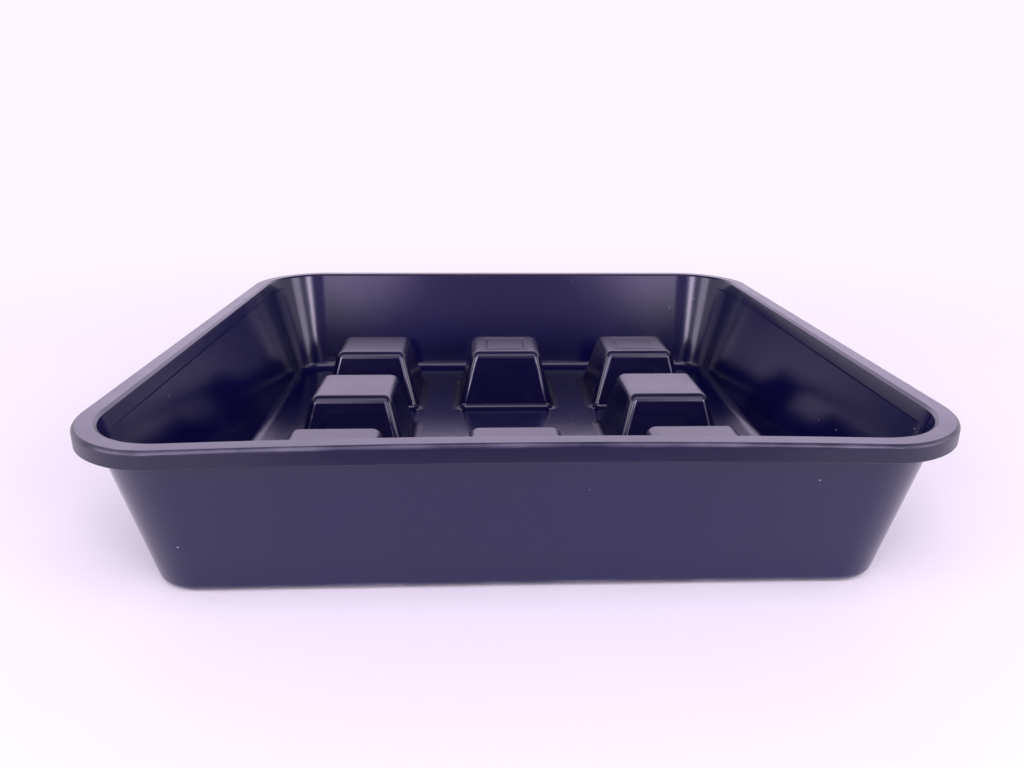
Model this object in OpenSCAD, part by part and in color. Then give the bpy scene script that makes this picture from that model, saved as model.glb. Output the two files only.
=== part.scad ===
// Square plant saucer with a sloping wall, a turned-down rim and eight hollow risers.
// The risers hold a pot above the water that drains into the saucer.
// The real saucer is one plastic moulding. Here it is divided along its own features: the
// floor with its turned-up edge, the wall, the rim and each riser, which meet face to face.
// Origin at the centre of the underside, +Z up, front edge towards -Y. Millimetres.

/* [Saucer] */
// Outside width across the rim, the same both ways
rim_w = 300; // [288:1:360]
// Height from the table to the top of the rim
height = 61; // [52:1:80]
// Corner radius of the rim's outside, seen from above
corner_r = 38; // [32:1:60]

/* [Wall and floor] */
// Slope of the wall away from upright, in degrees
wall_draft = 14; // [8:0.5:18]
// Thickness of the wall
wall_t = 2; // [1.4:0.1:3]
// Thickness of the floor
floor_t = 2.6; // [1.8:0.1:4]
// Radius of the outer edge between the wall and the underside
base_edge_r = 2.5; // [1:0.1:4]
// Radius of the hollow between the floor and the wall inside
floor_fillet_r = 5.5; // [2:0.5:8]
// Height of wall that the floor's turned-up edge carries above that hollow
pan_lip = 1.6; // [0.5:0.1:4]

/* [Rim] */
// Distance from the wall's outer face to the skirt's outer face, at the rim's top
rim_overhang = 5.4; // [4.8:0.1:9]
// Height of the skirt that the rim turns down outside
skirt_h = 6.2; // [5:0.1:12]
// Thickness of the skirt
skirt_t = 1.8; // [1.2:0.1:2.4]
// Thickness of the rim's flat top
rim_t = 2; // [1.4:0.1:3]
// Radius of the rim's outer top edge
rim_edge_r = 2; // [0.4:0.1:2.2]
// Radius of the skirt's lower edges
skirt_edge_r = 0.4; // [0.2:0.1:0.5]
// Width of the bevel along the rim's inner edge
bevel_w = 1.1; // [0.4:0.1:2]
// Drop of that bevel
bevel_drop = 0.9; // [0.3:0.1:1.6]
// Depth below the rim's top of the bead that runs round the inside
bead_depth = 6.5; // [5:0.1:12]
// Width of that bead
bead_w = 1.6; // [1:0.1:2.4]
// Height of that bead above the wall's inner face
bead_h = 0.3; // [0.1:0.05:0.4]
// Height of plain wall under the bead that the rim carries
bead_land = 0.4; // [0.2:0.1:2]

/* [Risers] */
// Width of the lane of floor between the outer risers and the wall
edge_lane = 26.7; // [22:0.1:30]
// Height from the table to the top of a riser
riser_h = 33; // [24:0.5:44]
// Width of a riser where its sides meet the floor
riser_base = 52.5; // [46:0.5:54]
// Width of a riser where its sides meet its top
riser_top = 37; // [32:0.5:40]
// Thickness of a riser's sides and top
riser_t = 2; // [1.4:0.1:3]
// Radius of a riser's four sloping corners at the floor
riser_corner_r = 4; // [3:0.1:6]
// Radius of those corners at the top
riser_corner_top_r = 5.5; // [4.5:0.1:7]
// Radius round the edge of a riser's top
riser_edge_r = 4.5; // [0.8:0.1:5]
// Radius of the hollow round a riser's foot
riser_foot_r = 3.8; // [1:0.1:5]
// Flat strip of floor that a riser's foot carries outside that hollow
foot_land = 1; // [0.4:0.1:2]
// Radius of the corners and the ceiling edge in the pocket under a riser
pocket_r = 2; // [0.6:0.1:3]

/* [Hidden] */

// Places of the risers on their grid, as steps of one pitch. The middle of the grid is empty.
RISERS = [
    ["riser_front_left", [-1, -1]],
    ["riser_front_middle", [0, -1]],
    ["riser_front_right", [1, -1]],
    ["riser_middle_left", [-1, 0]],
    ["riser_middle_right", [1, 0]],
    ["riser_back_left", [-1, 1]],
    ["riser_back_middle", [0, 1]],
    ["riser_back_right", [1, 1]],
];

$fn = 96;
arc_steps = 6;
ring_steps = 5;
least_r = 0.2;
plastic = "#1d1a26";

// Every level of the wall and rim turns its corner about the same upright axis
axis_d = rim_w / 2 - corner_r;
rim_out = corner_r;

// Distance of the wall's two faces from the corner axis, at height z
wall_lean = tan(wall_draft);
wall_foot = rim_out - rim_overhang - height * wall_lean;
function wall_out(z) = wall_foot + z * wall_lean;
function wall_in(z) = wall_out(z) - wall_t / cos(wall_draft);

// Heights of the two seams that divide the moulding
pan_h = floor_t + floor_fillet_r + pan_lip;
collar_z = height - bead_depth - bead_w / 2 - bead_land;

// Half width of a riser's outer and pocket sides, at height z
riser_lean = (riser_base - riser_top) / 2 / (riser_h - floor_t);
riser_draft = atan(riser_lean);
function riser_out(z) = riser_base / 2 - (z - floor_t) * riser_lean;
function riser_in(z) = riser_out(z) - riser_t / cos(riser_draft);
function riser_corner(z) =
    riser_corner_r + (riser_corner_top_r - riser_corner_r) * (z - floor_t) / (riser_h - floor_t);

// Distance between the centres of neighbouring risers
riser_pitch = axis_d + wall_in(floor_t) - edge_lane - riser_base / 2;

// Radius of the hollow round a foot. In a narrow lane it leaves room for the flat strips of
// the two feet and for a strip of floor as wide between them.
foot_spread = 1 / cos(riser_draft) - riser_lean;
foot_room = (riser_pitch - riser_base - 3 * foot_land) / 2;
foot_r = min(riser_foot_r, foot_room / foot_spread);

// Half width and corner radius of the foot, which the floor's cut-out shares
foot_bend = riser_base / 2 + foot_r * foot_spread;
foot_half = foot_bend + foot_land;
foot_corner_r = riser_corner_r + foot_half - riser_base / 2;

// Points along an arc about centre c, from angle a to angle b
function arc(c, r, a, b) = [
    for (i = [0 : arc_steps])
        let (t = a + (b - a) * i / arc_steps)
            c + r * [cos(t), sin(t)]
];

// Outline of a square with rounded corners, anticlockwise
function rounded_square(half, r) = [
    for (q = [0 : 3])
        for (i = [0 : ring_steps])
            let (t = 90 * q + 90 * i / ring_steps)
            let (side = [[1, 1], [-1, 1], [-1, -1], [1, -1]][q])
                (half - r) * side + r * [cos(t), sin(t)]
];

// Carries a profile round the saucer: x runs out from the corner axis, y runs up
module carry_round() {
    for (q = [0 : 3])
        rotate(90 * q)
            translate([axis_d, axis_d, 0]) {
                rotate_extrude(angle = 90)
                    children();
                rotate([90, 0, 0])
                    linear_extrude(2 * axis_d)
                        children();
            }
}

// Skins a stack of levels, each [half width, corner radius, height], and closes its two ends
module loft(levels) {
    n = 4 * (ring_steps + 1);
    last = len(levels) - 1;
    points = [
        for (level = levels)
            for (p = rounded_square(level[0], level[1]))
                [p.x, p.y, level[2]]
    ];
    sides = [
        for (k = [0 : last - 1])
            for (j = [0 : n - 1])
                let (a = k * n + j, b = k * n + (j + 1) % n)
                    each [[a, a + n, b + n], [a, b + n, b]]
    ];
    start = [for (j = [0 : n - 1]) j];
    end = [for (j = [n - 1 : -1 : 0]) last * n + j];
    polyhedron(points, concat([start], sides, [end]));
}

// Floor: a flat plate with a rounded, turned-up edge, cut out under each riser
module pan_profile() {
    edge_c = [wall_out(base_edge_r) - base_edge_r / cos(wall_draft), base_edge_r];
    hollow_z = floor_t + floor_fillet_r;
    hollow_c = [wall_in(hollow_z) - floor_fillet_r / cos(wall_draft), hollow_z];
    polygon(concat(
        [[0, 0]],
        arc(edge_c, base_edge_r, -90, -wall_draft),
        [[wall_out(pan_h), pan_h], [wall_in(pan_h), pan_h]],
        arc(hollow_c, floor_fillet_r, -wall_draft, -90),
        [[0, floor_t]]
    ));
}

module floor_pan() {
    color(plastic)
        difference() {
            union() {
                carry_round()
                    pan_profile();
                translate([-axis_d, -axis_d, 0])
                    cube([2 * axis_d, 2 * axis_d, floor_t]);
            }
            for (riser = RISERS)
                translate(concat(riser_pitch * riser[1], -floor_t))
                    linear_extrude(3 * floor_t)
                        polygon(rounded_square(foot_half, foot_corner_r));
        }
}

// Wall: stands on the floor's turned-up edge and ends under the rim's collar
module side_wall() {
    color(plastic)
        carry_round()
            polygon([
                [wall_in(pan_h), pan_h],
                [wall_out(pan_h), pan_h],
                [wall_out(collar_z), collar_z],
                [wall_in(collar_z), collar_z],
            ]);
}

// Rim: a collar on the wall with a bead inside, a flat top with a bevelled inner edge, and a
// skirt outside
module rim_profile() {
    skirt_z = height - skirt_h;
    under_z = height - rim_t;
    bevel_z = height - bevel_drop;
    skirt_in = rim_out - skirt_t;
    bead_z = height - bead_depth;
    bead_r = (bead_w ^ 2 / 4 + bead_h ^ 2) / (2 * bead_h);
    bead_a = asin(bead_w / 2 / bead_r);
    bead_c = [wall_in(bead_z), bead_z] + (bead_r - bead_h) * [cos(wall_draft), -sin(wall_draft)];
    edge_c = [rim_out - rim_edge_r, height - rim_edge_r];
    tip_r = skirt_edge_r;
    polygon(concat(
        [
            [wall_in(collar_z), collar_z],
            [wall_out(collar_z), collar_z],
            [wall_out(under_z), under_z],
            [skirt_in, under_z],
        ],
        arc([skirt_in + tip_r, skirt_z + tip_r], tip_r, 180, 270),
        arc([rim_out - tip_r, skirt_z + tip_r], tip_r, 270, 360),
        arc(edge_c, rim_edge_r, 0, 90),
        [[wall_in(bevel_z) + bevel_w, height], [wall_in(bevel_z), bevel_z]],
        arc(bead_c, bead_r, 180 - wall_draft - bead_a, 180 - wall_draft + bead_a)
    ));
}

module rim() {
    color(plastic)
        carry_round()
            rim_profile();
}

// Riser: a drafted hollow block, open below, with a rounded top edge and a hollow round its foot.
// Its levels run from the pocket's ceiling down the inside, across the foot and up the outside.
module riser(step) {
    ceiling = riser_h - riser_t;
    pocket_c = [riser_in(ceiling - pocket_r) - pocket_r / cos(riser_draft), ceiling - pocket_r];
    foot_c = [foot_bend, floor_t + foot_r];
    top_z = riser_h - riser_edge_r;
    top_c = [riser_out(top_z) - riser_edge_r / cos(riser_draft), top_z];
    inside = [
        for (p = arc(pocket_c, pocket_r, 90, riser_draft))
            [p.x, max(least_r, pocket_r - riser_in(p.y) + p.x), p.y]
    ];
    outside = [
        for (p = concat(
            arc(foot_c, foot_r, 270, 180 + riser_draft),
            arc(top_c, riser_edge_r, riser_draft, 90)
        ))
            [p.x, max(least_r, riser_corner(p.y) - riser_out(p.y) + p.x), p.y]
    ];
    color(plastic)
        translate(riser_pitch * step)
            loft(concat(
                inside,
                [
                    [riser_in(0), pocket_r, 0],
                    [foot_half, foot_corner_r, 0],
                    [foot_half, foot_corner_r, floor_t],
                ],
                outside
            ));
}

floor_pan();
side_wall();
rim();
for (riser = RISERS)
    riser(riser[1]);
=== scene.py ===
# %% [markdown]
# # A square plant saucer
# A plant saucer is one thin moulding of black polypropylene: a flat floor, a wall that leans
# outwards, a rim turned down for stiffness, and eight hollow blocks that hold the pot above the
# drained water. The CAD frame has these zones as separate solids. This lesson gives each zone a mesh
# of its own, with the small radii that catch the light, and one plastic in four finishes.

# %% Load the frame
import math

import bmesh
import bpy
from mathutils import Matrix, Vector


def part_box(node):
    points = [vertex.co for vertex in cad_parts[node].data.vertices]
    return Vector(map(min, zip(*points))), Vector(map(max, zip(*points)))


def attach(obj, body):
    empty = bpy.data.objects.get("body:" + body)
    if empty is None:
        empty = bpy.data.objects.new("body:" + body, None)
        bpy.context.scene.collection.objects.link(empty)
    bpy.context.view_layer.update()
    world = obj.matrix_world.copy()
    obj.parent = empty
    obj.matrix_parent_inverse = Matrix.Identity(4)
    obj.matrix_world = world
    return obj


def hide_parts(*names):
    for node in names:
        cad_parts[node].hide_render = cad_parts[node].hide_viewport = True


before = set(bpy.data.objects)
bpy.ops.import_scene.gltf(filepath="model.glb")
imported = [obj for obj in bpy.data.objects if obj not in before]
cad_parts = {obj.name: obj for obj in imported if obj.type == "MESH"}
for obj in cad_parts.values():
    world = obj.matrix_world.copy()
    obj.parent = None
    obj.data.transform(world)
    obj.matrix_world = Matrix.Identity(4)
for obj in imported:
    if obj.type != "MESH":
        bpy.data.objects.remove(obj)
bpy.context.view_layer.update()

MM = 0.001

# %% [markdown]
# ## The camera
# The photograph was taken with a wide lens from close by, a little left of the middle and a little
# tilted. The focal length is given in pixels of the photograph, as it was measured there, and
# turned into millimetres for a sensor 36 mm wide. A Track To constraint could aim the camera, but it
# would lose the tilt. So the camera is turned in three steps, which are easier to read one by one
# than as one set of Euler angles.

# %% Place the camera
PHOTO_WIDTH = 1024
SENSOR_WIDTH = 36
focal_pixels = 801.3
camera_place = Vector((-15.1, -373.4, 155.2)) * MM
camera_down = math.radians(18.13)
camera_turn = math.radians(-2.48)
camera_roll = math.radians(0.46)

camera = bpy.data.objects.new("photo_camera", bpy.data.cameras.new("photo_camera"))
bpy.context.scene.collection.objects.link(camera)
camera.data.sensor_width = SENSOR_WIDTH
camera.data.lens = focal_pixels / PHOTO_WIDTH * SENSOR_WIDTH
camera.data.clip_start = 10 * MM
turn = Matrix.Rotation(camera_turn, 4, "Z")
tip = Matrix.Rotation(math.radians(90) - camera_down, 4, "X")
roll = Matrix.Rotation(camera_roll, 4, "Z")
camera.matrix_world = Matrix.Translation(camera_place) @ turn @ tip @ roll
bpy.context.scene.camera = camera
bpy.context.scene.view_settings.view_transform = "Standard"
print("lens in mm:", round(camera.data.lens, 2))

# %% [markdown]
# ## Colours and nodes
# Colours are written as sRGB hex values, the way a picture editor shows them. Blender's sockets
# take linear light, so one function converts them. A second function adds a node, sets its
# properties and its sockets, and links what it is given, so that a material reads like a list.
# Where several sockets of a node share a name, _0 or _6 stands for a socket by its number.


# %% Colour and node helpers
def linear(hex_colour):
    channels = [int(hex_colour[i:i + 2], 16) / 255 for i in (1, 3, 5)]
    return (*[c / 12.92 if c <= 0.04045 else ((c + 0.055) / 1.055) ** 2.4 for c in channels], 1)


def add_node(tree, kind, settings=None, **sockets):
    node = tree.nodes.new(kind)
    for name, value in (settings or {}).items():
        setattr(node, name, value)
    for name, value in sockets.items():
        key = int(name[1:]) if name[1:].isdigit() else name.replace("_", " ")
        socket = node.inputs[key]
        if isinstance(value, bpy.types.NodeSocket):
            tree.links.new(value, socket)
        else:
            socket.default_value = value
    return node


print("middle grey in linear light:", [round(v, 3) for v in linear("#808080")[:3]])

# %% [markdown]
# ## The room
# The saucer stands in a white room with a darker ceiling. A picture of a studio could surround it,
# but a ramp over the height of each direction is enough for a plain room. It is the same for every
# kind of ray, so the plastic reflects the same white that the camera sees.

# %% Room
WHITE = linear("#fff7ff")
CEILING = linear("#5a5666")
CEILING_START = math.radians(35)
CEILING_FULL = math.radians(45)
world = bpy.data.worlds.new("white_room")
bpy.context.scene.world = world
world.use_nodes = True
tree = world.node_tree
tree.nodes.clear()
direction = add_node(tree, "ShaderNodeTexCoord").outputs["Generated"]
height = add_node(tree, "ShaderNodeSeparateXYZ", Vector=direction).outputs["Z"]
room = add_node(tree, "ShaderNodeValToRGB", Fac=height)
room.color_ramp.elements[0].position = math.sin(CEILING_START)
room.color_ramp.elements[0].color = WHITE
room.color_ramp.elements[1].position = math.sin(CEILING_FULL)
room.color_ramp.elements[1].color = CEILING
background = add_node(tree, "ShaderNodeBackground", Color=room.outputs["Color"], Strength=1.0)
add_node(tree, "ShaderNodeOutputWorld", Surface=background.outputs["Background"])
print("the ceiling starts", round(math.degrees(CEILING_START)), "degrees up")

# %% [markdown]
# ## The paper sheet
# The saucer stands on a wide sheet of paper. A plane from Blender's own shapes would do, but a
# function that takes four corners also serves for the cards further down.

# %% Paper sheet
FLOOR_HALF = 8.0
SQUARE = ((-1, -1), (1, -1), (1, 1), (-1, 1))


def flat_sheet(name, corners):
    mesh = bpy.data.meshes.new(name)
    mesh.from_pydata(corners, [], [(0, 1, 2, 3)])
    sheet = bpy.data.objects.new(name, mesh)
    bpy.context.scene.collection.objects.link(sheet)
    return sheet


floor = flat_sheet("studio_floor", [(x * FLOOR_HALF, y * FLOOR_HALF, 0) for x, y in SQUARE])
print("the sheet is", 2 * FLOOR_HALF, "m wide")

# %% [markdown]
# ## Matt white paper
# Uncoated paper has no gloss, and its white drifts by a hair from place to place. Far from the lamps
# a real sheet darkens towards the horizon. It could be bent up behind the saucer, but the line of the
# bend might show. So beyond the saucer it turns slowly into a sheet that glows as white as the room,
# and only for rays that show it, directly or in gloss. It adds no light, and it keeps the saucer's
# shadow.

# %% Matt white paper
PAPER_CLOUD = 90 * MM
GLOW_START = 0.2
GLOW_FULL = 0.75
paper = bpy.data.materials.new("matt_white_paper")
paper.use_nodes = True
tree = paper.node_tree
tree.nodes.clear()
place = add_node(tree, "ShaderNodeTexCoord").outputs["Object"]
cloud = add_node(tree, "ShaderNodeTexNoise", Vector=place, Scale=1 / PAPER_CLOUD, Detail=3.0)
tint = add_node(tree, "ShaderNodeMix", {"data_type": "RGBA"}, _0=cloud.outputs["Fac"],
                _6=linear("#f7f6f3"), _7=linear("#f9f8f5"))
matt = add_node(tree, "ShaderNodeBsdfDiffuse", Color=tint.outputs[2])
reach = add_node(tree, "ShaderNodeVectorMath", {"operation": "LENGTH"}, _0=place).outputs["Value"]
far = add_node(tree, "ShaderNodeMapRange", {"interpolation_type": "SMOOTHSTEP"}, Value=reach,
               From_Min=GLOW_START, From_Max=GLOW_FULL)
ray = add_node(tree, "ShaderNodeLightPath").outputs
shown = add_node(tree, "ShaderNodeMath", {"operation": "ADD"}, _0=ray["Is Camera Ray"],
                 _1=ray["Is Glossy Ray"])
shown = add_node(tree, "ShaderNodeMath", {"operation": "ADD", "use_clamp": True},
                 _0=shown.outputs[0], _1=ray["Is Transmission Ray"])
share = add_node(tree, "ShaderNodeMath", {"operation": "MULTIPLY"}, _0=far.outputs[0],
                 _1=shown.outputs[0])
glow = add_node(tree, "ShaderNodeEmission", Color=WHITE, Strength=1.0)
blend = add_node(tree, "ShaderNodeMixShader", _0=share.outputs[0], _1=matt.outputs["BSDF"],
                 _2=glow.outputs["Emission"])
add_node(tree, "ShaderNodeOutputMaterial", Surface=blend.outputs["Shader"])
floor.data.materials.append(paper)
print("the sheet glows fully from", GLOW_FULL, "m outwards")

# %% [markdown]
# ## The light
# The light is that of a white tent which is open towards the camera. Two strips stand far out to
# both sides and draw the bright streaks in the back corners. Two weak panels beside the opening give
# the back wall its soft sheen. Boxes light the tent from both sides and from the back, and one hangs
# overhead, a little in front of the saucer. Point lamps would leave hard dots, because glossy plastic
# shows the face of a lamp. So each lamp is given by its place, the size of its face and how bright
# that face looks, and its power is that brightness times pi times the area.

# %% Soft boxes
TENT_LIGHT = "#efe2ff"
VIOLET_LIGHT = "#e2ccff"


def soft_box(name, place, wide, tall, brightness, colour=TENT_LIGHT):
    data = bpy.data.lights.new(name, "AREA")
    data.shape = "RECTANGLE"
    data.size = wide
    data.size_y = tall
    data.energy = brightness * math.pi * wide * tall
    data.color = linear(colour)[:3]
    box = bpy.data.objects.new(name, data)
    bpy.context.scene.collection.objects.link(box)
    box.location = place
    box.rotation_euler = Vector(place).to_track_quat("Z", "Y").to_euler()
    box.visible_camera = False
    print(name, "has", round(data.energy, 1), "watts")


soft_box("left_strip", (-0.66, -1.03, 0.4), wide=0.24, tall=0.46, brightness=9.5)
soft_box("right_strip", (0.68, -1.03, 0.4), wide=0.24, tall=0.46, brightness=9.5)
soft_box("left_panel", (-0.17, -0.385, 0.245), wide=0.13, tall=0.1, brightness=2.8, colour=VIOLET_LIGHT)
soft_box("right_panel", (0.2, -0.395, 0.245), wide=0.13, tall=0.1, brightness=2.8, colour=VIOLET_LIGHT)
soft_box("left_box", (-1.85, -0.75, 0.6), wide=0.7, tall=0.8, brightness=3.5)
soft_box("right_box", (1.85, -0.75, 0.6), wide=0.7, tall=0.8, brightness=3.5)
soft_box("back_box", (0.08, 1.9, 0.98), wide=3.4, tall=1.05, brightness=1.75, colour=VIOLET_LIGHT)
soft_box("overhead_box", (0.0, -0.97, 1.56), wide=1.9, tall=1.45, brightness=2.6)

# %% [markdown]
# ## The opening of the tent
# Where the camera looks in, the tent is open and dark, and the inside of the saucer mirrors that.
# A modelled tent would do it, but it would also take light away. Three cards stand in for the
# opening: one lies under the camera, a wide dark one rises at its far edge, and a paler one stands on
# that. They show in gloss only, so they cast no shadow and don't tint the paper.

# %% Cards
CARD_LEFT = -0.17
CARD_RIGHT = 0.2
CARD_NEAR = 0.25
CARD_BACK = 0.42
CARD_SPLIT = 0.17
CARD_TOP = 0.62
FLOOR_CARD_TAPER = 0.6
LOW_CARD_SPREAD = 1.5


def gloss_card(name, corners, colour):
    card = flat_sheet(name, corners)
    paint = bpy.data.materials.new(name + "_paper")
    paint.use_nodes = True
    tree = paint.node_tree
    tree.nodes.clear()
    matt = add_node(tree, "ShaderNodeBsdfDiffuse", Color=linear(colour))
    add_node(tree, "ShaderNodeOutputMaterial", Surface=matt.outputs["BSDF"])
    card.data.materials.append(paint)
    card.visible_camera = False
    card.visible_diffuse = False
    card.visible_transmission = False
    card.visible_shadow = False


def upright(left, right, low, high):
    corners = ((left, low), (right, low), (right, high), (left, high))
    return [(x, -CARD_BACK, z) for x, z in corners]


gloss_card("floor_card", [
    (FLOOR_CARD_TAPER * CARD_LEFT, -CARD_NEAR, MM),
    (FLOOR_CARD_TAPER * CARD_RIGHT, -CARD_NEAR, MM),
    (CARD_RIGHT, -CARD_BACK, MM),
    (CARD_LEFT, -CARD_BACK, MM),
], "#85818f")
gloss_card("low_card", upright(
    LOW_CARD_SPREAD * CARD_LEFT, LOW_CARD_SPREAD * CARD_RIGHT, 0, CARD_SPLIT), "#3a3840")
gloss_card("high_card", upright(CARD_LEFT, CARD_RIGHT, CARD_SPLIT, CARD_TOP), "#c0bac8")
print("the opening is", round(CARD_RIGHT - CARD_LEFT, 2), "m wide")

# %% [markdown]
# ## Black polypropylene: its colour
# The granulate is coloured through with carbon black, which leaves a cold, bluish black. One flat
# colour would look like paint. On a real moulding the pigment is never mixed quite evenly, and a few
# grains of dust lie about. Some edges are painted paler in patches: the rim's outer edge partly from
# real rubbing and partly as a painted highlight, the foot edge of the floor and the upright corners
# of the risers as painted highlight lines. A mask painted by hand could say where an edge is. Here
# the meshes carry an attribute named edge, which is made along with their rounded corners, so it
# always fits them.

# %% Colour of the skin
CLOUD_SIZE = 55 * MM
CLOUD_DARKEST = 0.8
CLOUD_LIGHTEST = 1.2
PALE_PATCH_SIZE = 18 * MM
PALE_PATCH_LOW = 0.35
PALE_PATCH_HIGH = 0.7
SPECK_CELL = 5 * MM
SPECK_RADIUS = 0.3 * MM
# Pale colour of the marked edges: partly real rubbing, partly painted highlight.
WEAR_AND_HIGHLIGHT_PALE = linear("#c8c2d6")
DUST = linear("#9d97aa")


def skin_colour(tree, place, skin, wear_and_highlight, specks):
    cloud = add_node(tree, "ShaderNodeTexNoise", Vector=place, Scale=1 / CLOUD_SIZE, Detail=4.0)
    shade = add_node(tree, "ShaderNodeMapRange", Value=cloud.outputs["Fac"],
                     To_Min=CLOUD_DARKEST, To_Max=CLOUD_LIGHTEST)
    base = add_node(tree, "ShaderNodeHueSaturation", Color=linear(skin), Value=shade.outputs[0])
    edge = add_node(tree, "ShaderNodeAttribute", {"attribute_name": "edge"}).outputs["Fac"]
    pale_patch_noise = add_node(tree, "ShaderNodeTexNoise", Vector=place, Scale=1 / PALE_PATCH_SIZE, Detail=6.0)
    patch = add_node(tree, "ShaderNodeMapRange", Value=pale_patch_noise.outputs["Fac"],
                     From_Min=PALE_PATCH_LOW, From_Max=PALE_PATCH_HIGH)
    # Share of the pale edge colour: the edge mark in patches, times how strongly this finish paints it.
    pale_share = add_node(tree, "ShaderNodeMath", {"operation": "MULTIPLY"}, _0=edge, _1=patch.outputs[0])
    pale_share = add_node(tree, "ShaderNodeMath", {"operation": "MULTIPLY"}, _0=pale_share.outputs[0], _1=wear_and_highlight)
    edge_painted = add_node(tree, "ShaderNodeMix", {"data_type": "RGBA"}, _0=pale_share.outputs[0],
                      _6=base.outputs["Color"], _7=WEAR_AND_HIGHLIGHT_PALE)
    cell = add_node(tree, "ShaderNodeTexVoronoi", Vector=place, Scale=1 / SPECK_CELL)
    near = add_node(tree, "ShaderNodeMath", {"operation": "LESS_THAN"}, _0=cell.outputs["Distance"],
                    _1=SPECK_RADIUS / SPECK_CELL)
    pick = add_node(tree, "ShaderNodeSeparateColor", Color=cell.outputs["Color"])
    chosen = add_node(tree, "ShaderNodeMath", {"operation": "LESS_THAN"}, _0=pick.outputs[0], _1=specks)
    speck = add_node(tree, "ShaderNodeMath", {"operation": "MULTIPLY"}, _0=near.outputs[0],
                     _1=chosen.outputs[0])
    dusted = add_node(tree, "ShaderNodeMix", {"data_type": "RGBA"}, _0=speck.outputs[0],
                      _6=edge_painted.outputs[2], _7=DUST)
    return dusted.outputs[2]


print("a speck of dust is", 2 * SPECK_RADIUS / MM, "mm wide")

# %% [markdown]
# ## Its gloss
# The skin of a moulding copies the mould: satin where the steel was stoned, glossier where it was
# polished. Fingers and water leave smears that are a little duller. One roughness for all would make
# every highlight equally sharp, so a noise adds the smears, and an attribute named satin adds
# roughness where a mesh asks for it.

# %% Gloss of the skin
SMEAR_SIZE = 28 * MM
SMEAR_TWIST = 0.6
SMEAR_LOW = 0.3
SMEAR_HIGH = 0.75
SMEAR_DULLING = 0.05


def skin_roughness(tree, place, roughness, satin):
    smear = add_node(tree, "ShaderNodeTexNoise", Vector=place, Scale=1 / SMEAR_SIZE, Detail=6.0,
                     Distortion=SMEAR_TWIST)
    smeared = add_node(tree, "ShaderNodeMapRange", Value=smear.outputs["Fac"],
                       From_Min=SMEAR_LOW, From_Max=SMEAR_HIGH,
                       To_Min=roughness, To_Max=roughness + SMEAR_DULLING)
    marked = add_node(tree, "ShaderNodeAttribute", {"attribute_name": "satin"}).outputs["Fac"]
    dulled = add_node(tree, "ShaderNodeMath", {"operation": "MULTIPLY_ADD"}, _0=marked, _1=satin,
                      _2=smeared.outputs[0])
    return dulled.outputs[0]


print("smears are about", round(SMEAR_SIZE / MM), "mm across")

# %% [markdown]
# ## Its relief
# A thin moulding is never quite flat, so a slow wave bends its reflections, and a fine grain takes
# the edge off them. Both could be real displacement, but they are far too shallow to change the
# outline, so two bump nodes are enough. The second one starts from the normal of the first.

# %% Relief of the skin
WAVE_SIZE = 45 * MM
WAVE_HEIGHT = 0.05 * MM
# Real mould grain is under a tenth of a millimetre, too fine to show, so it is drawn coarser.
GRAIN_CELL = 0.35 * MM


def skin_relief(tree, place, grain):
    wave = add_node(tree, "ShaderNodeTexNoise", Vector=place, Scale=1 / WAVE_SIZE, Detail=1.0)
    slow = add_node(tree, "ShaderNodeBump", Height=wave.outputs["Fac"], Strength=1.0,
                    Distance=WAVE_HEIGHT)
    cells = add_node(tree, "ShaderNodeTexNoise", Vector=place, Scale=1 / GRAIN_CELL, Detail=1.0)
    fine = add_node(tree, "ShaderNodeBump", Height=cells.outputs["Fac"], Strength=1.0,
                    Distance=grain * GRAIN_CELL, Normal=slow.outputs["Normal"])
    return fine.outputs["Normal"]


print("the grain is drawn", round(GRAIN_CELL / MM, 2), "mm wide")

# %% [markdown]
# ## Four finishes of one plastic
# The whole saucer is one shot of plastic, but its zones don't look alike. A single material could be
# split by more masks. Four materials from one function are easier to read: each line says how dark,
# how rough, how grainy, how strongly its marked edges are painted pale and how dusty one zone is. The
# wall, the floor and the risers lie mostly in shade, and their skins are darker and more bluish than
# the rim's: that is painted shade. Roughness starts from what is typical, about 0.3 for a satin
# moulding and 0.1 for a polished one. The grain adds to it, so the values that match the real saucer
# are lower on the wall and the floor.

# %% Finishes
# Polypropylene has an IOR of about 1.5, and carbon black lifts it a little.
PLASTIC_IOR = 1.55


def polypropylene(name, skin, roughness, grain, wear_and_highlight, specks, satin=0.0):
    material = bpy.data.materials.new(name)
    material.use_nodes = True
    tree = material.node_tree
    tree.nodes.clear()
    place = add_node(tree, "ShaderNodeTexCoord").outputs["Object"]
    shader = add_node(tree, "ShaderNodeBsdfPrincipled", IOR=PLASTIC_IOR,
                      Base_Color=skin_colour(tree, place, skin, wear_and_highlight, specks),
                      Roughness=skin_roughness(tree, place, roughness, satin),
                      Normal=skin_relief(tree, place, grain))
    add_node(tree, "ShaderNodeOutputMaterial", Surface=shader.outputs["BSDF"])
    print(name, "has roughness from", roughness)
    return material


# Moulded against fine-stoned steel: a calm dark sheen, with soft streaks in the corners. Its skin
# is bluer than the rim's, which is painted shade.
wall_plastic = polypropylene("polypropylene_satin_wall", "#080636",
                             roughness=0.125, grain=0.04, wear_and_highlight=0.1, specks=0.12)
# Moulded the same, then dulled by hands and stacking: a broad pale sheen. Its outer edge is painted
# paler, partly for real rubbing and partly as a painted highlight.
rim_plastic = polypropylene("polypropylene_handled_rim", "#0b092d",
                            roughness=0.3, grain=0.03, wear_and_highlight=0.16, specks=0.05)
# Moulded a little duller than the wall: blurred reflections of the risers. Its skin is the bluest
# of the four, which is painted shade.
floor_plastic = polypropylene("polypropylene_satin_floor", "#070538",
                              roughness=0.16, grain=0.05, wear_and_highlight=0.1, specks=0.05)
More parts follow.
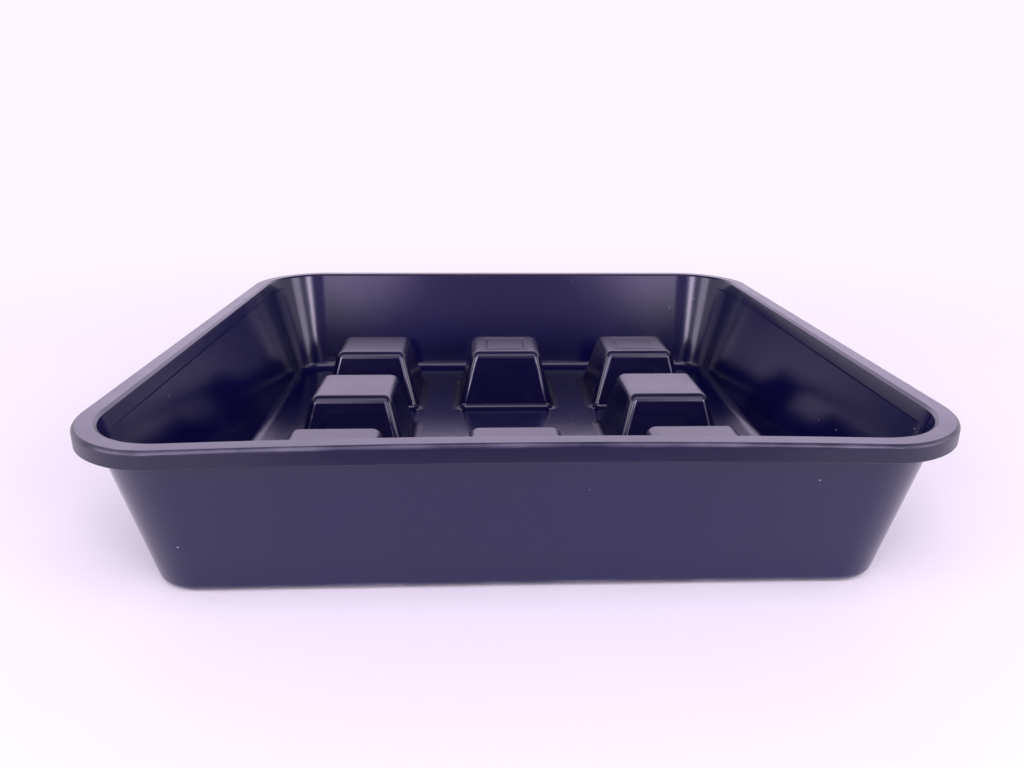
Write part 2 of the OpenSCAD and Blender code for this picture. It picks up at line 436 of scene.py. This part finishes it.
# Moulded in polished pockets, with dull pale tops. Its skin is the darkest of the four, which is
# painted shade, and the thin bright lines on its upright corners are painted highlights.
riser_plastic = polypropylene("polypropylene_polished_riser", "#04022a",
                              roughness=0.07, grain=0.01, wear_and_highlight=1.0, specks=0.05, satin=0.25)

# %% [markdown]
# ## Sizes
# The frame gives the outside: the width and height of the rim and the seams that divide the
# moulding. The lean of the wall follows from the boxes of the wall and the floor, so it can't differ
# from the CAD model. Thickness and corner radius don't show in a box, so they are named here.

# %% Sizes from the frame
rim_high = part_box("rim")[1]
wall_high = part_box("side_wall")[1]
pan_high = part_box("floor_pan")[1]
half_width, top_z = rim_high.x, rim_high.z
rim_seam_z, floor_seam_z = wall_high.z, pan_high.z
wall_lean = (wall_high.x - pan_high.x) / (rim_seam_z - floor_seam_z)

corner_radius = 38 * MM
wall_thick = 2 * MM
floor_thick = 2.6 * MM
corner_axis = half_width - corner_radius


def wall_outside(z):
    return pan_high.x - corner_axis + (z - floor_seam_z) * wall_lean


def wall_inside(z):
    return wall_outside(z) - wall_thick * math.hypot(1, wall_lean)


print("the wall leans by", round(math.degrees(math.atan(wall_lean)), 2), "degrees")

# %% [markdown]
# ## Outlines with rounded corners
# A moulding has no sharp edges, and it is the small radii that catch the light. A Bevel modifier
# could round them, but it takes one width for all. Here an outline is a list of corners, each with
# its own radius, and one function turns every corner into an arc that touches both of its straight
# sides. A fourth number says how strongly that corner is painted paler, which stands for rubbing on
# the rim and for a painted highlight line on the foot, and the points of its arc are marked with it,
# most in the middle.

# %% Rounded outlines
ARC_STEPS = 8


def rounded(corners, closed=True):
    points, marks = [], []
    count = len(corners)
    for i, (x, z, radius, *paleness) in enumerate(corners):
        here = Vector((x, z))
        if radius == 0 or not closed and i in (0, count - 1):
            points.append(here)
            marks.append(0.0)
            continue
        back = (Vector(corners[i - 1][:2]) - here).normalized()
        ahead = (Vector(corners[(i + 1) % count][:2]) - here).normalized()
        opening = back.angle(ahead)
        middle = here + (back + ahead).normalized() * radius / math.sin(opening / 2)
        start = here + back * radius / math.tan(opening / 2) - middle
        end = here + ahead * radius / math.tan(opening / 2) - middle
        sweep = start.angle_signed(end)
        for step in range(ARC_STEPS + 1):
            points.append(middle + Matrix.Rotation(-sweep * step / ARC_STEPS, 2) @ start)
            marks.append(sum(paleness) * math.sin(math.pi * step / ARC_STEPS))
    return points, marks


print("a rounded corner has", ARC_STEPS + 1, "points")

# %% [markdown]
# ## Carrying an outline round the saucer
# Floor edge, wall and rim all follow one path: a square whose corners turn about four fixed upright
# axes, so every level keeps the same straight length and only its corner radius grows. A curve with
# a bevel object could do this, but its corners would bunch up. Here each point of an outline gives
# one such square, with its steps spread evenly over the corners and the straights.

# %% Square loops
CORNER_STEPS = 24
STRAIGHT_STEPS = 16


def square_loop(straight, radius, corner_steps=CORNER_STEPS, straight_steps=STRAIGHT_STEPS):
    loop = []
    for quarter in range(4):
        spin = Matrix.Rotation(math.radians(90 * quarter), 2)
        centre = spin @ Vector((straight, straight))
        for step in range(corner_steps + 1):
            angle = math.radians(90 * (quarter + step / corner_steps))
            loop.append(centre + radius * Vector((math.cos(angle), math.sin(angle))))
        last, following = loop[-1], spin @ Vector((-straight, straight + radius))
        loop += [last.lerp(following, step / straight_steps) for step in range(1, straight_steps)]
    return loop


print("a loop has", len(square_loop(corner_axis, corner_radius)), "points")

# %% [markdown]
# ## From squares to a skin
# Each square becomes a loop of vertices, which carry the outline's wear in the attribute named edge.
# Neighbouring loops are joined by quads. The Bridge Edge Loops tool could join them, but it picks
# its own starting point, and here the first vertices of all loops already lie in line.


# %% Joined loops
def add_loop(bm, loop, z, mark=0.0):
    layer = bm.verts.layers.float.get("edge") or bm.verts.layers.float.new("edge")
    made = [bm.verts.new((p.x, p.y, z)) for p in loop]
    for vertex in made:
        vertex[layer] = mark
    return made


def join_loops(bm, loops, close_ring):
    count = len(loops[0])
    pairs = list(zip(loops, loops[1:] + loops[:1]))
    for low, high in pairs if close_ring else pairs[:-1]:
        for i in range(count):
            j = (i + 1) % count
            bm.faces.new((low[i], low[j], high[j], high[i]))


def carried(bm, outline, close_ring):
    points, marks = outline
    loops = [add_loop(bm, square_loop(corner_axis, p.x), p.y, mark) for p, mark in zip(points, marks)]
    join_loops(bm, loops, close_ring)
    return loops


print("two loops are joined by", 4 * (CORNER_STEPS + STRAIGHT_STEPS), "quads")

# %% [markdown]
# ## From loops to a piece
# Every zone ends the same way. Its faces are shaded smooth, but edges of more than 40 degrees stay
# sharp, and the Weighted Normal modifier keeps large flat faces flat beside their small arcs. A
# subdivision surface would smooth them too, but it would pull the outline away from its sizes. The
# piece then rides on the body and takes the place of its CAD solid.

# %% Finished pieces
SHARP_ANGLE = math.radians(40)


def finish_mesh(bm, name, material, nodes):
    bmesh.ops.recalc_face_normals(bm, faces=bm.faces)
    mesh = bpy.data.meshes.new(name)
    bm.to_mesh(mesh)
    bm.free()
    for polygon in mesh.polygons:
        polygon.use_smooth = True
    mesh.set_sharp_from_angle(angle=SHARP_ANGLE)
    mesh.materials.append(material)
    piece = bpy.data.objects.new(name, mesh)
    bpy.context.scene.collection.objects.link(piece)
    weighted = piece.modifiers.new("flat_faces_stay_flat", "WEIGHTED_NORMAL")
    weighted.keep_sharp = True
    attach(piece, "root")
    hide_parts(*nodes)
    print(name, "has", len(mesh.polygons), "faces")
    return piece


print("edges stay sharp above", round(math.degrees(SHARP_ANGLE)), "degrees")

# %% [markdown]
# ## A front that bows
# Thin mouldings warp as they cool. On this one the middle of the front side stands almost two
# millimetres higher than its corners. A lattice could bend the finished pieces, but rim, wall and
# floor have to stay joined, so one function moves the vertices of all three. The bow fades towards
# the sides and down to the floor, whose front edge is left half a millimetre off the paper, so a
# little light gets under it.

# %% Bow of the front
front_bow = 1.5 * MM
edge_lift = 0.45 * MM
bow_half = 125 * MM
bow_start = -60 * MM
lift_start = -108 * MM


def bow_front(bm):
    for vertex in bm.verts:
        x, y, z = vertex.co
        along = max(0, 1 - (x / bow_half) ** 2)
        towards_front = min(1, max(0, (bow_start - y) / (bow_start + wall_high.y)))
        up = max(0, (z - floor_seam_z) / (top_z - floor_seam_z))
        lifted = min(1, max(0, (lift_start - y) / (lift_start + pan_high.y)))
        vertex.co.z += along * (front_bow * towards_front * up + edge_lift * lifted)


print("the middle of the front is lifted by", round((front_bow + edge_lift) / MM, 2), "mm")

# %% [markdown]
# ## The rim: its outline
# The rim is a flat band with a soft outer edge, a shallow bevel inside, a collar on the wall and a
# skirt turned down outside. Underneath it is an open channel, as on any moulding of even thickness.
# A solid bar would look the same from above and wrong from below, so the outline goes all the way
# round the channel. Inside, the collar comes forward by a hair on its way down and ends in a small
# step, which shows as a thin dark line.

# %% Rim outline
skirt_drop = 6.2 * MM
skirt_thick = 1.8 * MM
rim_thick = 2 * MM
rim_edge = 1.5 * MM
channel_hollow = 0.5 * MM
skirt_edge = 0.4 * MM
bevel_width = 1.1 * MM
bevel_edge = 0.4 * MM
bevel_z = top_z - 0.9 * MM
collar_end_z = top_z - 6 * MM
collar_proud = 0.25 * MM
step_height = 0.6 * MM
step_edge = 0.15 * MM
step_hollow = 0.3 * MM
step_z = collar_end_z - step_height


def collar_inside(z):
    return wall_inside(z) - collar_proud * (bevel_z - z) / (bevel_z - collar_end_z)


rim_outline = rounded([
    (wall_inside(rim_seam_z), rim_seam_z, 0),
    (wall_outside(rim_seam_z), rim_seam_z, 0),
    (wall_outside(top_z - rim_thick), top_z - rim_thick, channel_hollow),
    (corner_radius - skirt_thick, top_z - rim_thick, channel_hollow),
    (corner_radius - skirt_thick, top_z - skirt_drop, skirt_edge),
    (corner_radius, top_z - skirt_drop, skirt_edge),
    # The outer edge is painted paler: partly real rubbing, partly a painted highlight.
    (corner_radius, top_z, rim_edge, 1),
    (collar_inside(bevel_z) + bevel_width, top_z, bevel_edge),
    (collar_inside(bevel_z), bevel_z, bevel_edge),
    (collar_inside(collar_end_z), collar_end_z, step_edge),
    (wall_inside(step_z), step_z, step_hollow),
])
print("the rim's outline has", len(rim_outline[0]), "points")

# %% [markdown]
# ## The rim: its collar
# The collar's step shows on the left and right sides and is lost at the front, the back and the
# corners. Two outlines could be blended for that. It is simpler to carry one outline round and then
# lay each collar vertex back on the wall, the more the less its wall faces sideways. The collar gets
# the wall's finish, whose bluer skin is painted shade, and the rest keeps the rim's.

# %% Rim
COLLAR_FADE = 0.8
TOLERANCE = 0.001 * MM
bm = bmesh.new()
loops = carried(bm, rim_outline, close_ring=True)
for point, loop in zip(rim_outline[0], loops):
    if point.x < wall_inside(point.y) - TOLERANCE:
        for vertex, flush in zip(loop, square_loop(corner_axis, wall_inside(point.y))):
            sideways = abs((flush - vertex.co.xy).normalized().x)
            keep = max(0, (sideways - COLLAR_FADE) / (1 - COLLAR_FADE))
            vertex.co.xy = flush.lerp(vertex.co.xy, keep)
bow_front(bm)
rim = finish_mesh(bm, "turned_down_rim", rim_plastic, ["rim"])
rim.data.materials.append(wall_plastic)
for polygon in rim.data.polygons:
    x, y, z = polygon.center
    out = math.hypot(max(0, abs(x) - corner_axis), max(0, abs(y) - corner_axis))
    if z < bevel_z and out < wall_outside(z) - wall_thick / 2:
        polygon.material_index = 1
print(sum(polygon.material_index for polygon in rim.data.polygons), "faces belong to the collar")

# %% [markdown]
# ## The wall
# The wall is a plain leaning band between the seam above the floor and the seam under the collar. A
# Solidify modifier could give it its thickness. Carrying its four corners round makes it meet the
# rim above and the floor below point for point, so no seam shows.

# %% Wall
wall_outline = rounded([
    (wall_inside(floor_seam_z), floor_seam_z, 0),
    (wall_outside(floor_seam_z), floor_seam_z, 0),
    (wall_outside(rim_seam_z), rim_seam_z, 0),
    (wall_inside(rim_seam_z), rim_seam_z, 0),
])
bm = bmesh.new()
carried(bm, wall_outline, close_ring=True)
bow_front(bm)
finish_mesh(bm, "leaning_wall", wall_plastic, ["side_wall"])

# %% [markdown]
# ## The risers: sizes
# Each riser is a hollow drafted block, open below, on a foot that runs out into the floor in a round
# hollow. A scaled cube with a bevel would have the draft but neither the foot nor the hollow inside,
# so it is lofted from rounded squares. Its place, its height and the width of its foot come from the
# frame. The other sizes were measured in the photograph or, inside, follow from an even thickness.

# %% Riser sizes
riser_names = sorted(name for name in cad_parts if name.startswith("riser_"))
foot_low, foot_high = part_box(riser_names[0])
foot_half = (foot_high.x - foot_low.x) / 2
riser_top_z = foot_high.z
riser_base_half = 26.25 * MM
riser_top_half = 18.5 * MM
riser_thick = 2 * MM
riser_corner = 3.6 * MM
riser_edge = 4.5 * MM
riser_foot = 3.8 * MM
riser_lean = (riser_base_half - riser_top_half) / (riser_top_z - floor_thick)


def riser_outside(z):
    return riser_base_half - (z - floor_thick) * riser_lean


def riser_inside(z):
    return riser_outside(z) - riser_thick * math.hypot(1, riser_lean)


print(len(riser_names), "risers lean by", round(math.degrees(math.atan(riser_lean)), 2), "degrees")

# %% [markdown]
# ## The risers: outlines
# Half a riser's outline is drawn in two parts: the pocket, from its ceiling down the inside, and the
# block, from the foot up the outside to the middle of the top. Two risers of the back row have a
# shallow groove on their tops, which frames a bare panel. It could be cut with a boolean, but as
# three more points of the outline it costs nothing, and a depth of 0 leaves the top flat.

# %% Riser outlines
pocket_corner = 2 * MM
panel_half = 9.5 * MM
groove_wide = 2 * MM
groove_deep = 0.45 * MM
panel_risers = ("riser_back_middle", "riser_back_right")
ceiling_z = riser_top_z - riser_thick
pocket_outline = rounded([
    (0, ceiling_z, 0),
    (riser_inside(ceiling_z), ceiling_z, pocket_corner),
    (riser_inside(0), 0, 0),
], closed=False)


def block_outline(depth):
    return rounded([
        (foot_half, 0, 0),
        (foot_half, floor_thick, 0),
        (riser_base_half, floor_thick, riser_foot),
        (riser_top_half, riser_top_z, riser_edge),
        (panel_half + groove_wide, riser_top_z, 0),
        (panel_half + groove_wide / 2, riser_top_z - depth, 0),
        (panel_half, riser_top_z, 0),
        (0, riser_top_z, 0),
    ], closed=False)


print("a block's outline has", len(block_outline(0)[0]), "points")

# %% [markdown]
# ## The risers: loops
# The outline becomes rounded squares again, but their corners don't turn about fixed axes. On the
# sides the radius stays the same. Round the foot it grows with the hollow, as a rolling ball would
# leave it, and towards the middle of the top it shrinks to a least radius.

# %% Riser loops
RISER_CORNER_STEPS = 10
RISER_STRAIGHT_STEPS = 6


def riser_loops(bm, outline, face, corner, least):
    loops = []
    for point, mark in zip(*outline):
        if point.x > 0:
            radius = max(least, corner + point.x - face(point.y))
            square = square_loop(point.x - radius, radius, RISER_CORNER_STEPS, RISER_STRAIGHT_STEPS)
            loops.append(add_loop(bm, square, point.y, mark))
    return loops


print("a riser's loop has", 4 * (RISER_CORNER_STEPS + RISER_STRAIGHT_STEPS), "points")

# %% [markdown]
# ## The risers: marks for the finish
# Two marks steer the riser's finish. One line of vertices along each upright corner carries a painted
# highlight, a thin bright line where the corner's arc runs into the front or back face. The top and
# the feet at the sides are satin. Both could be painted by hand, but code knows exactly which vertex
# is which.

# %% Riser marks
# Which step of each corner's arc carries the painted highlight line.
RISER_HIGHLIGHT_STEP = 1
SIDE_FOOT_SATIN = 0.8


# Marks one vertex per corner and loop for the painted highlight line.
def mark_corners(bm, loops):
    layer = bm.verts.layers.float.get("edge")
    side = RISER_CORNER_STEPS + RISER_STRAIGHT_STEPS
    for loop in loops:
        for quarter in range(4):
            step = RISER_HIGHLIGHT_STEP if quarter % 2 else RISER_CORNER_STEPS - RISER_HIGHLIGHT_STEP
            loop[quarter * side + step][layer] = 1.0


def mark_satin(bm):
    layer = bm.verts.layers.float.new("satin")
    for vertex in bm.verts:
        below_top = riser_top_z - vertex.co.z
        above_floor = vertex.co.z - floor_thick
        beside = abs(vertex.co.x) > abs(vertex.co.y) and above_floor < riser_foot
        vertex[layer] = SIDE_FOOT_SATIN if beside else max(0, 1 - below_top / riser_edge)


print("satin fades out", round(riser_edge / MM, 1), "mm below the top")

# %% [markdown]
# ## The eight risers
# All eight are made by the same lines, round the origin, and then moved to their places. Linked
# copies would be lighter, but each riser replaces a solid of its own, and two have the groove.

# %% Risers
least_block_corner = 1.2 * MM
least_pocket_corner = 0.3 * MM
side_end_z = riser_top_z - riser_edge / 2
for name in riser_names:
    low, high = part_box(name)
    depth = groove_deep if name in panel_risers else 0
    bm = bmesh.new()
    pocket = riser_loops(bm, pocket_outline, riser_inside, pocket_corner, least_pocket_corner)
    block = riser_loops(bm, block_outline(depth), riser_outside, riser_corner, least_block_corner)
    mark_corners(bm, [loop for loop in block if floor_thick + riser_foot < loop[0].co.z < side_end_z])
    join_loops(bm, pocket + block, close_ring=False)
    bm.faces.new(pocket[0])
    bm.faces.new(block[-1])
    mark_satin(bm)
    bmesh.ops.translate(bm, verts=bm.verts, vec=((low.x + high.x) / 2, (low.y + high.y) / 2, 0))
    finish_mesh(bm, name + "_block", riser_plastic, [name])

# %% [markdown]
# ## The floor
# The floor is a flat plate with a round foot edge that turns up into the wall, and along that edge a
# painted highlight line. Its edge is carried round like the wall. The flat inside has eight cut-outs
# where the feet of the risers sit.
# Booleans could cut them, but the points that they leave wouldn't match the feet. Here the cut-outs
# are loops with the same points as the feet, and a triangle fill closes the rest, above and below.

# %% Floor
# Strength of the painted highlight line on the foot edge.
FOOT_HIGHLIGHT = 2
foot_edge = 4.5 * MM
floor_hollow = 5.5 * MM
flat_margin = 1.5 * MM
flat_end = wall_inside(floor_thick) - floor_hollow - flat_margin
edge_outline = rounded([
    (flat_end, 0, 0),
    (wall_outside(0), 0, foot_edge, FOOT_HIGHLIGHT),
    (wall_outside(floor_seam_z), floor_seam_z, 0),
    (wall_inside(floor_seam_z), floor_seam_z, 0),
    (wall_inside(floor_thick), floor_thick, floor_hollow),
    (flat_end, floor_thick, 0),
], closed=False)
cut_corner = riser_corner + foot_half - riser_base_half
cut_square = square_loop(foot_half - cut_corner, cut_corner, RISER_CORNER_STEPS, RISER_STRAIGHT_STEPS)
bm = bmesh.new()
edge_loops = carried(bm, edge_outline, close_ring=False)
cut_outs = []
for name in riser_names:
    low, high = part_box(name)
    centre = ((low + high) / 2).xy
    loop = [p + centre for p in cut_square]
    cut_outs.append((add_loop(bm, loop, 0), add_loop(bm, loop, floor_thick)))
    join_loops(bm, list(cut_outs[-1]), close_ring=False)
for level, edge_loop in ((0, edge_loops[0]), (1, edge_loops[-1])):
    rings = [edge_loop] + [cut[level] for cut in cut_outs]
    edges = [bm.edges.get((ring[i - 1], ring[i])) for ring in rings for i in range(len(ring))]
    bmesh.ops.triangle_fill(bm, edges=edges, use_beauty=True)
bow_front(bm)
finish_mesh(bm, "floor_pan_with_edge", floor_plastic, ["floor_pan"])
